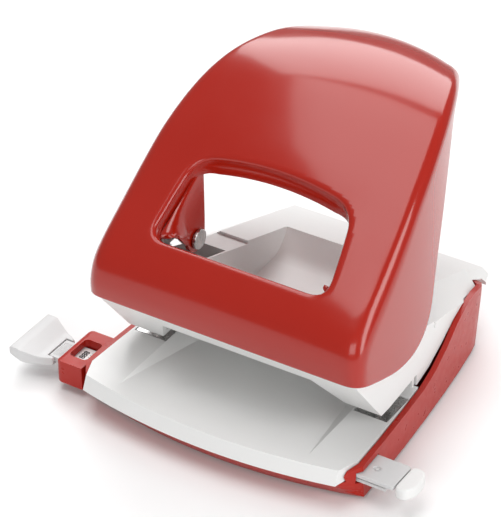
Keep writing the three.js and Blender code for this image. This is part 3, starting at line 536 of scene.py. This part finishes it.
def signed_distance(points, outline):
    """Distance to a closed outline, positive inside."""
    p = points[:, None, :]
    a = outline[None, :, :]
    b = np.roll(outline, -1, axis=0)[None, :, :]
    ab = b - a
    t = np.clip(((p - a) * ab).sum(2) / np.maximum((ab * ab).sum(2), 1e-12), 0, 1)
    gap = np.linalg.norm(p - (a + ab * t[..., None]), axis=2)
    nearest = gap.min(1)
    crosses = ((a[..., 1] > p[..., 1]) != (b[..., 1] > p[..., 1]))
    with np.errstate(divide="ignore", invalid="ignore"):
        x_at = a[..., 0] + (p[..., 1] - a[..., 1]) / (b[..., 1] - a[..., 1]) * ab[..., 0]
    inside = (crosses & (p[..., 0] < x_at)).sum(1) % 2 == 1
    return np.where(inside, nearest, -nearest)


def window_axes():
    slope = np.array([0, WINDOW_HIGH[0] - WINDOW_LOW[0], WINDOW_HIGH[1] - WINDOW_LOW[1]])
    length = np.linalg.norm(slope)
    slope = slope / length
    across = np.array([1.0, 0, 0])
    out = np.cross(across, slope)
    origin = np.array([0, WINDOW_LOW[0], WINDOW_LOW[1]])
    return origin, across, slope, out, length


def window_outline(settings, grow):
    length = window_axes()[4]
    low, high = settings.window_low + grow, settings.window_high + grow
    corners = rounded_outline(
        [(-low, -grow), (low, -grow), (high, length + grow), (-high, length + grow)],
        settings.window_corner + grow, 10)
    dense = np.vstack([np.linspace(p, q, max(1, int(np.linalg.norm(q - p) / 1.5)), endpoint=False)
                       for p, q in zip(corners, np.roll(corners, -1, axis=0))])
    rise = settings.window_bow * (0.55 - (dense[:, 0] / high) ** 2)
    dense[:, 1] += rise * smooth_step(dense[:, 1], 0.45 * length, length)
    return dense


def side_outline():
    """The wall's edge, closed well above the lever."""
    above = 130
    curve = spline_at(WALL_EDGE, np.linspace(0, 1, 260))
    return np.vstack([curve, [(WALL_EDGE[-1][0], above), (WALL_EDGE[0][0], above)]])


def plan_outline():
    """The lever's rear edge seen from above, closed well beside and before the lever."""
    wide, narrow, rear, bend = 38.0, 30.0, 45.5, 36.0
    t = np.linspace(0, 1, 40)[:, None]
    start, a, b, end = (np.array(q) for q in ((70, 8), (wide, bend), (narrow, rear), (0, rear)))
    right = (1 - t) ** 3 * start + 3 * (1 - t) ** 2 * t * a + 3 * (1 - t) * t ** 2 * b + t ** 3 * end
    left = right[::-1] * (-1, 1)
    return np.vstack([right, left, [(-70, -80), (70, -80)]])


def trim_value(settings, points):
    """Positive where the lever's skin stays, zero on its edge."""
    side = signed_distance(points[:, 1:3], side_outline())
    plan = signed_distance(points[:, :2], plan_outline())
    origin, across, slope, out, _ = window_axes()
    local = points - origin
    flat = np.stack([local @ across, local @ slope], 1)
    hole = -signed_distance(flat, window_outline(settings, settings.bend))
    near_window = np.abs(local @ out) < 15
    hole = np.where(near_window, hole, 99)
    return np.minimum(np.minimum(side, plan), hole)


def trimmed_skin(settings):
    """Cuts the grid along its edge by moving the nearest points onto the edge."""
    grid = lever_grid(settings)
    rows, cols, _ = grid.shape
    points = grid.reshape(-1, 3).copy()
    value = trim_value(settings, points)
    index = np.arange(rows * cols).reshape(rows, cols)
    edges = np.vstack([
        np.stack([index[:, :-1].ravel(), index[:, 1:].ravel()], 1),
        np.stack([index[:-1].ravel(), index[1:].ravel()], 1)])
    crossing = edges[value[edges[:, 0]] * value[edges[:, 1]] < 0]
    best = {}
    for a, b in crossing:
        t = value[a] / (value[a] - value[b])
        near, far, share = (a, b, t) if t < 0.5 else (b, a, 1 - t)
        if near not in best or share < best[near][0]:
            best[near] = (share, far)
    moved = points.copy()
    for near, (share, far) in best.items():
        moved[near] = points[near] + (points[far] - points[near]) * share
        value[near] = 0
    faces = []
    for r in range(rows - 1):
        for c in range(cols - 1):
            quad = [index[r, c], index[r, c + 1], index[r + 1, c + 1], index[r + 1, c]]
            out = [q for q in quad if value[q] < 0]
            kept = [q for q in quad if value[q] >= 0]
            if not out and any(value[q] > 0 for q in quad):
                faces.append(quad)
            elif len(out) == 1 and any(value[q] > 0 for q in kept):
                faces.append(kept)
    used = sorted({v for f in faces for v in f})
    remap = {v: i for i, v in enumerate(used)}
    return moved[used], [[remap[v] for v in f] for f in faces]


def boundary_loops(mesh):
    """Each open edge loop of an edit mesh, as lists of vertices in order."""
    edges = [e for e in mesh.edges if e.is_boundary]
    follow = {}
    for e in edges:
        for a, b in (e.verts, reversed(e.verts)):
            follow.setdefault(a, []).append(b)
    loops, seen = [], set()
    for start in follow:
        if start in seen:
            continue
        loop, here, before = [], start, None
        while here not in seen:
            seen.add(here)
            loop.append(here)
            ahead = [v for v in follow[here] if v != before and v not in seen]
            before = here
            if not ahead:
                break
            here = ahead[0]
        loops.append(loop)
    return sorted(loops, key=len)


def fold_window_edge(mesh, loop, settings):
    """Turns the sheet in round the window: a bend, then a flange."""
    origin, across, slope, out, _ = (np.asarray(v) for v in window_axes())
    outline = window_outline(settings, 0)
    bend = settings.bend
    profile = [(bend * math.sin(a), bend * (1 - math.cos(a)))
               for a in (math.radians(d) for d in (22.5, 45, 67.5, 90))]
    profile += [(bend, bend + (settings.fold - bend) * s) for s in (0.4, 1.0)]
    inward, leans = [], []
    for vertex in loop:
        local = np.array(vertex.co) / MM - origin
        flat = np.array([local @ across, local @ slope])
        step = nearest_on(flat, outline) - flat
        step = step / max(np.linalg.norm(step), 1e-9)
        inward.append(across * step[0] + slope * step[1])
        leans.append(settings.lean * max(0.0, -step[1]) ** 2)
    rings = [loop]
    for reach, drop in profile:
        share = max(0.0, drop - bend) / (settings.fold - bend)
        ring = [mesh.verts.new(Vector((np.array(v.co) / MM + d * (reach + lean * share) - out * drop) * MM))
                for v, d, lean in zip(loop, inward, leans)]
        rings.append(ring)
    count = len(loop)
    for near, far in zip(rings, rings[1:]):
        for i in range(count):
            j = (i + 1) % count
            mesh.faces.new((near[i], near[j], far[j], far[i]))


def relax_edges(mesh, passes=8):
    """Evens the spacing of the points near the trimmed edge without moving the edge itself."""
    near = {v for e in mesh.edges if e.is_boundary for v in e.verts}
    ring = {f for v in near for f in v.link_faces}
    ring |= {f for g in ring for v in g.verts for f in v.link_faces}
    movable = {v for f in ring for v in f.verts} - near
    for _ in range(passes):
        place = {v: sum((e.other_vert(v).co for e in v.link_edges), Vector()) / len(v.link_edges)
                 for v in movable}
        for v, target in place.items():
            offset = target - v.co
            v.co += (offset - v.normal * offset.dot(v.normal)) * 0.5


def build_hood():
    settings = bpy.context.scene.punch_lever
    points, faces = trimmed_skin(settings)
    hood = link_mesh("hood_shell", points * MM, faces)
    mesh = bmesh.new()
    mesh.from_mesh(hood.data)
    bmesh.ops.recalc_face_normals(mesh, faces=mesh.faces)
    mesh.normal_update()
    relax_edges(mesh)
    loops = boundary_loops(mesh)
    window_reach = 0.036
    window = [loop for loop in loops if max(abs(v.co.x) for v in loop) < window_reach]
    fold_window_edge(mesh, window[0], settings)
    bmesh.ops.recalc_face_normals(mesh, faces=mesh.faces)
    top = max(mesh.faces, key=lambda f: f.calc_center_median().z)
    if top.normal.z < 0:
        bmesh.ops.reverse_faces(mesh, faces=mesh.faces)
    mesh.to_mesh(hood.data)
    mesh.free()
    solid = hood.modifiers.new("sheet", "SOLIDIFY")
    solid.thickness = settings.sheet * MM
    solid.offset = -1
    solid.use_even_offset = True
    solid.use_quality_normals = True
    apply_all(hood)
    bevel(hood, 0.32, 2, 50)
    return hood


def rod(name, radius, x0, x1, y, z, edge_mm=0.2, sides=48):
    """A round bar along X, with its ends rounded off."""
    deselect()
    bpy.ops.mesh.primitive_cylinder_add(
        vertices=sides, radius=radius * MM, depth=abs(x1 - x0) * MM,
        location=((x0 + x1) / 2 * MM, y * MM, z * MM), rotation=(0, math.pi / 2, 0))
    piece = bpy.context.object
    piece.name = name
    bpy.ops.object.transform_apply(location=True, rotation=True, scale=True)
    bevel(piece, edge_mm, 3, 40)
    return piece


def build_lug(side, settings):
    """The tab folded down from the window's side, which carries a drive pin."""
    origin, across, slope, out, length = window_axes()
    pin_y, pin_z = DRIVE_PIN
    reach, front_y, foot_x = 4.6, -36.5, 26.7
    inset, end_gap, overlap, rise = 0.2, 1.5, 0.6, 9.0
    stations = 26
    levels = 18
    verts = []
    for i in range(stations + 1):
        t = i / stations
        along = end_gap + (length - 2 * end_gap) * t
        half = settings.window_low + (settings.window_high - settings.window_low) * along / length
        top = origin + slope * along - out * (settings.fold - overlap)
        y_low = front_y + (pin_y + reach - front_y) * t
        ahead = np.clip((y_low - (pin_y - reach)) / (2 * reach), 0, 1)
        front = np.clip((pin_y - reach - y_low) / 7.0, 0, 1)
        z_low = pin_z - reach * math.sqrt(max(0.0, 1 - (2 * ahead - 1) ** 2)) + rise * front ** 1.4
        low = np.array([foot_x, y_low, z_low])
        for j in range(levels + 1):
            s = j / levels
            ease = s ** 0.75
            x = half - inset + (foot_x - half + inset) * min(1.0, ease * 1.25)
            y = top[1] + (low[1] - top[1]) * s
            z = top[2] + (low[2] - top[2]) * s
            verts.append((side * x * MM, y * MM, z * MM))
    row = levels + 1
    faces = [(i * row + j, i * row + j + 1, (i + 1) * row + j + 1, (i + 1) * row + j)
             for i in range(stations) for j in range(levels)]
    lug = link_mesh("lug", verts, faces)
    solid = lug.modifiers.new("sheet", "SOLIDIFY")
    solid.thickness = 1.3 * MM
    solid.offset = 0
    apply_all(lug)
    clean(lug)
    bevel(lug, 0.3, 2, 50)
    return lug


class MESH_OT_punch_lever(bpy.types.Operator):
    """Build the pressed lever with its window, folded edges, lugs and ears"""

    bl_idname = "mesh.punch_lever"
    bl_label = "Lever"

    def execute(self, context):
        settings = context.scene.punch_lever
        pieces = [build_hood()]
        for side in (-1, 1):
            pieces.append(build_lug(side, settings))
            for (y, z), radius, inner in ((PIVOT, 4.2, 43.7), (DRIVE_PIN, 3.6, 44.7)):
                wall = float(wall_x(settings, y, z)) - settings.sheet + 0.3
                pieces.append(rod("ear", radius, side * inner, side * wall, y, z))
        lever = join_pieces(pieces, "lever_shell")
        settle(lever, "lever", ["lever_hood"], red_lacquer(), math.radians(38))
        return {"FINISHED"}


class MESH_OT_punch_drive_pins(bpy.types.Operator):
    """Build the two headed pins that push the punches down"""

    bl_idname = "mesh.punch_drive_pins"
    bl_label = "Drive pins"

    def execute(self, context):
        for word in ("left", "right"):
            piece = refined_copy(f"drive_pin_{word}", f"headed_pin_{word}", 0.25, 3)
            settle(piece, "lever", [f"drive_pin_{word}"], steel())
        return {"FINISHED"}


# ---------------------------------------------------------------- shells
class MESH_OT_punch_shells(bpy.types.Operator):
    """Build the base, the deck, the cover and the rail's housing with rounded edges"""

    bl_idname = "mesh.punch_shells"
    bl_label = "Shells"

    def execute(self, context):
        edge = context.scene.punch_finish.edge
        for node, name, slot, material, share in (
                ("base_shell", "base_moulding", "red_plastic", red_plastic(), 1.2),
                ("paper_deck", "deck_moulding", "white_plastic", white_plastic(), 1.2),
                ("body_cover", "cover_moulding", "white_plastic", white_plastic(), 1.6),
                ("rail_housing", "housing_moulding", "red_plastic", red_plastic(), 2.6)):
            piece = refined_copy(node, name, edge * share, 4)
            if node == "base_shell":
                lower_left_rear(piece)
            settle(piece, "frame", [node], material)
        return {"FINISHED"}


def lower_left_rear(piece):
    """Lowers the base's left rear rim, so that it stays hidden behind the cover's sloping strip."""
    inner_x, outer_x = 0.030, 0.038
    front_y, rear_y = -0.004, 0.018
    foot_z, drop = 0.007, 0.22
    count = len(piece.data.vertices)
    flat = np.empty(count * 3)
    piece.data.vertices.foreach_get("co", flat)
    place = flat.reshape(-1, 3)
    share = smooth_step(-place[:, 0], inner_x, outer_x) * smooth_step(place[:, 1], front_y, rear_y)
    above = np.maximum(0, place[:, 2] - foot_z)
    place[:, 2] -= above * drop * share
    piece.data.vertices.foreach_set("co", place.ravel())
    piece.data.update()


class MESH_OT_punch_mechanism(bpy.types.Operator):
    """Build the axle, dies, guides, punches and return springs"""

    bl_idname = "mesh.punch_mechanism"
    bl_label = "Mechanism"

    def execute(self, context):
        fine = context.scene.punch_finish.fine_edge
        piece = refined_copy("pivot_axle", "axle_rod", fine, 3)
        settle(piece, "frame", ["pivot_axle"], steel())
        for word in ("left", "right"):
            for node, name in (("die_plate", "die"), ("punch_guide", "guide")):
                piece = refined_copy(f"{node}_{word}", f"{name}_{word}", fine)
                settle(piece, "frame", [f"{node}_{word}"], steel())
            piece = refined_copy(f"punch_{word}", f"plunger_{word}", fine)
            settle(piece, f"punch_{word[0]}", [f"punch_{word}"], steel())
            build_spring(word)
        return {"FINISHED"}


def build_spring(word):
    """A round-wire coil with closed ends, fixed to the frame, so it keeps its length as its punch goes down.
    """
    low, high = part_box(f"return_spring_{word}")
    wire = 0.5
    centre = (low + high) / 2
    radius = (high.x - low.x) / 2 / MM - wire
    turns, per_turn = 5.0, 40
    bottom, top = low.z / MM + wire, high.z / MM - wire
    count = int(turns * per_turn) + 1
    curve = bpy.data.curves.new(f"coil_{word}", "CURVE")
    curve.dimensions = "3D"
    curve.bevel_depth = wire * MM
    curve.bevel_resolution = 4
    curve.use_fill_caps = True
    line = curve.splines.new("POLY")
    line.points.add(count - 1)
    for i in range(count):
        t = i / (count - 1)
        angle = t * turns * 2 * math.pi
        x = centre.x + radius * MM * math.cos(angle)
        y = centre.y + radius * MM * math.sin(angle)
        line.points[i].co = (x, y, (bottom + (top - bottom) * t) * MM, 1)
    piece = bpy.data.objects.new(f"coil_{word}", curve)
    bpy.context.scene.collection.objects.link(piece)
    pick(piece)
    bpy.ops.object.convert(target="MESH")
    piece = bpy.context.object
    piece.name = f"coil_{word}"
    settle(piece, "frame", [f"return_spring_{word}"], steel(), math.radians(60))
    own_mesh(piece)


# ---------------------------------------------------------------- rail, stop and lock
def ridge_block(name, x0, x1, y, z0, z1, width):
    deselect()
    bpy.ops.mesh.primitive_cube_add(size=1, location=((x0 + x1) / 2 * MM, y * MM, (z0 + z1) / 2 * MM),
                                    scale=(abs(x1 - x0) * MM, width * MM, (z1 - z0) * MM))
    piece = bpy.context.object
    piece.name = name
    bpy.ops.object.transform_apply(location=True, rotation=True, scale=True)
    return piece


def number(text, x, y, z, size):
    """A figure or word in raised ink, turned a quarter so that it reads across the rail."""
    deselect()
    bpy.ops.object.text_add(location=(x * MM, y * MM, z * MM), rotation=(0, 0, math.pi / 2))
    piece = bpy.context.object
    piece.data.body = text
    piece.data.size = size * MM
    piece.data.align_x = "CENTER"
    piece.data.align_y = "CENTER"
    piece.data.extrude = 0.012 * MM
    piece.data.offset = 0.09 * MM
    bpy.ops.object.convert(target="MESH")
    piece = bpy.context.object
    bpy.ops.object.transform_apply(location=True, rotation=True, scale=True)
    return piece


class MESH_OT_punch_rail(bpy.types.Operator):
    """Build the guide rail, the paper stop and the printed scale"""

    bl_idname = "mesh.punch_rail"
    bl_label = "Paper stop rail"

    def execute(self, context):
        settings = context.scene.punch_finish
        bar = refined_copy("guide_rail", "rail_bar", settings.fine_edge)
        low, high = (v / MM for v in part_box("guide_rail"))
        settle(bar, "rail", ["guide_rail"], grey_plastic())
        head = refined_copy("paper_stop_head", "stop_head", settings.edge, 3)
        settle(head, "rail", ["paper_stop_head"], grey_plastic())
        strip = refined_copy("rail_scale", "scale_strip", 0.05)
        settle(strip, "rail", ["rail_scale"], scale_label())
        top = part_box("rail_scale")[1].z / MM + 0.012
        ribs = []
        rib, gap, rib_pitch = 0.28, 0.5, 0.6
        rib_y, rib_length = (low.y + high.y) / 2, (high.y - low.y) * 0.72
        x = low.x + gap
        while x < low.x + 4.6:
            ribs.append(ridge_block("rib", x, x + rib, rib_y, high.z - 0.05, high.z + 0.12, rib_length))
            x += rib_pitch
        rib_set = join_pieces(ribs, "stop_ribs")
        bevel(rib_set, 0.05, 2, 40)
        settle(rib_set, "rail", [], grey_plastic())
        marks = []
        for text, x in SCALE_FIGURES:
            marks.append(number(text, x, SCALE_Y, top, 2.7))
            for k in range(4):
                dash_y = -47.4 + k * 1.2
                marks.append(ridge_block("dash", x + 1.7, x + 2.3, dash_y, top - 0.02, top + 0.01, 0.26))
        lettered = [at for text, at in SCALE_FIGURES if text != "888"]
        for i in range(32):
            x = -50.0 + 2.0 * i
            width = 2.2 if i % 5 == 0 else 1.4
            if min(abs(x - at) for at in lettered) > 3:
                marks.append(ridge_block("tick", x, x + 0.2, SCALE_Y, top - 0.02, top + 0.01, width))
        print_layer = join_pieces(marks, "scale_figures")
        settle(print_layer, "rail", [], ink())
        return {"FINISHED"}


class MESH_OT_punch_lock(bpy.types.Operator):
    """Build the lock slide and its finger pad"""

    bl_idname = "mesh.punch_lock"
    bl_label = "Lock slide"

    def execute(self, context):
        edge = context.scene.punch_finish.edge
        piece = refined_copy("lock_slide", "lock_plate", edge * 0.7, 3)
        settle(piece, "lock", ["lock_slide"], grey_plastic())
        piece = refined_copy("lock_pad", "lock_finger_pad", edge * 2.4, 4)
        settle(piece, "lock", ["lock_pad"], white_plastic())
        return {"FINISHED"}


class MESH_OT_punch_underside(bpy.types.Operator):
    """Build the chip cover, its pins, the screws and the feet"""

    bl_idname = "mesh.punch_underside"
    bl_label = "Underside"

    def execute(self, context):
        fine = context.scene.punch_finish.fine_edge
        piece = refined_copy("chip_cover", "chip_tray", fine * 2, 2)
        settle(piece, "chip_door", ["chip_cover"], dark_plastic())
        for word in ("left", "right"):
            piece = refined_copy(f"chip_cover_pin_{word}", f"chip_pin_{word}", fine)
            settle(piece, "frame", [f"chip_cover_pin_{word}"], steel())
        for i in range(1, 5):
            piece = refined_copy(f"base_screw_{i}", f"screw_{i}", fine)
            settle(piece, "frame", [f"base_screw_{i}"], steel())
            piece = refined_copy(f"foot_{i}", f"rubber_foot_{i}", fine * 2, 3)
            settle(piece, "frame", [f"foot_{i}"], rubber())
        return {"FINISHED"}


# ---------------------------------------------------------------- stage
def area_light(name, place, target, size, power):
    deselect()
    bpy.ops.object.light_add(type="AREA", location=place)
    light = bpy.context.object
    light.name = name
    light.data.shape = "RECTANGLE"
    light.data.size, light.data.size_y = size
    light.data.energy = power
    light.rotation_euler = (Vector(target) - Vector(place)).to_track_quat("-Z", "Y").to_euler()
    return light


class SCENE_OT_punch_stage(bpy.types.Operator):
    """Set up the floor, the soft lights and the camera"""

    bl_idname = "scene.punch_stage"
    bl_label = "Floor, lights and camera"

    def execute(self, context):
        settings = context.scene.punch_stage
        deselect()
        bpy.ops.mesh.primitive_plane_add(size=8, location=(0, 0, -0.0002))
        floor = context.object
        floor.name = "floor"
        material = bpy.data.materials.new("pale_floor")
        material.use_nodes = True
        shader = material.node_tree.nodes["Principled BSDF"]
        shader.inputs["Base Color"].default_value = (0.93, 0.93, 0.93, 1)
        shader.inputs["Roughness"].default_value = 0.9
        floor.data.materials.append(material)
        world = bpy.data.worlds.new("studio")
        context.scene.world = world
        world.use_nodes = True
        world.node_tree.nodes["Background"].inputs["Color"].default_value = (1, 1, 1, 1)
        world.node_tree.nodes["Background"].inputs["Strength"].default_value = settings.ambient
        context.scene.view_settings.view_transform = "Standard"
        target = (0, 0, 0.05)
        area_light("sheen", (-0.38, 0.88, 0.85), target, (1.0, 0.8), settings.key)
        area_light("overhead", (-0.2, -0.05, 1.22), target, (1.2, 0.7), settings.key * 0.8)
        area_light("side_strip", (1.0, -0.2, 0.5), target, (0.34, 1.0), settings.key * 0.6)
        area_light("front_fill", (0.45, -1.25, 0.62), target, (0.9, 0.6), settings.key * 0.55)
        self.aim_camera(context, settings)
        return {"FINISHED"}

    def aim_camera(self, context, settings):
        a, e, r = settings.azimuth, settings.elevation, settings.roll
        back = Vector((math.sin(a) * math.cos(e), -math.cos(a) * math.cos(e), math.sin(e)))
        right = Vector((math.cos(a), math.sin(a), 0))
        up = back.cross(right)
        turned_right = right * math.cos(r) + up * math.sin(r)
        turned_up = -right * math.sin(r) + up * math.cos(r)
        target = Vector((-20.56, -3.32, 33.11)) * MM
        deselect()
        bpy.ops.object.camera_add()
        camera = context.object
        camera.name = "camera"
        axes = Matrix((turned_right, turned_up, back)).transposed().to_4x4()
        camera.matrix_world = Matrix.Translation(target + back * settings.distance) @ axes
        camera.data.sensor_width = 36
        camera.data.sensor_fit = "AUTO"
        camera.data.lens = settings.lens
        camera.data.clip_start = 0.01
        context.scene.camera = camera


# ---------------------------------------------------------------- panel
SETTINGS = {
    "punch_lever": PunchLeverSettings,
    "punch_finish": PunchFinishSettings,
    "punch_colours": PunchColourSettings,
    "punch_stage": PunchStageSettings,
}
BUILD_ORDER = (
    "mesh.punch_lever", "mesh.punch_drive_pins", "mesh.punch_shells", "mesh.punch_mechanism",
    "mesh.punch_rail", "mesh.punch_lock", "mesh.punch_underside", "scene.punch_stage",
)


class VIEW3D_PT_punch(bpy.types.Panel):
    """Buttons for each piece and the stage"""

    bl_idname = "VIEW3D_PT_punch"
    bl_label = "Desk Punch"
    bl_space_type = "VIEW_3D"
    bl_region_type = "UI"
    bl_category = "Desk Punch"

    def draw(self, context):
        for name in BUILD_ORDER:
            self.layout.operator(name)
        for name in SETTINGS:
            group = getattr(context.scene, name)
            box = self.layout.box()
            for key in group.bl_rna.properties.keys():
                if key not in ("rna_type", "name"):
                    box.prop(group, key)


CLASSES = (
    *SETTINGS.values(), MESH_OT_punch_lever, MESH_OT_punch_drive_pins, MESH_OT_punch_shells,
    MESH_OT_punch_mechanism, MESH_OT_punch_rail, MESH_OT_punch_lock, MESH_OT_punch_underside,
    SCENE_OT_punch_stage, VIEW3D_PT_punch,
)


def register():
    for item in CLASSES:
        bpy.utils.register_class(item)
    for name, group in SETTINGS.items():
        setattr(bpy.types.Scene, name, bpy.props.PointerProperty(type=group))


def unregister():
    for name in SETTINGS:
        delattr(bpy.types.Scene, name)
    for item in reversed(CLASSES):
        bpy.utils.unregister_class(item)


def main():
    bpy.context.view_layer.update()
    register()
    for name in BUILD_ORDER:
        family, call = name.split(".")
        getattr(getattr(bpy.ops, family), call)()


if __name__ == "__main__":
    main()
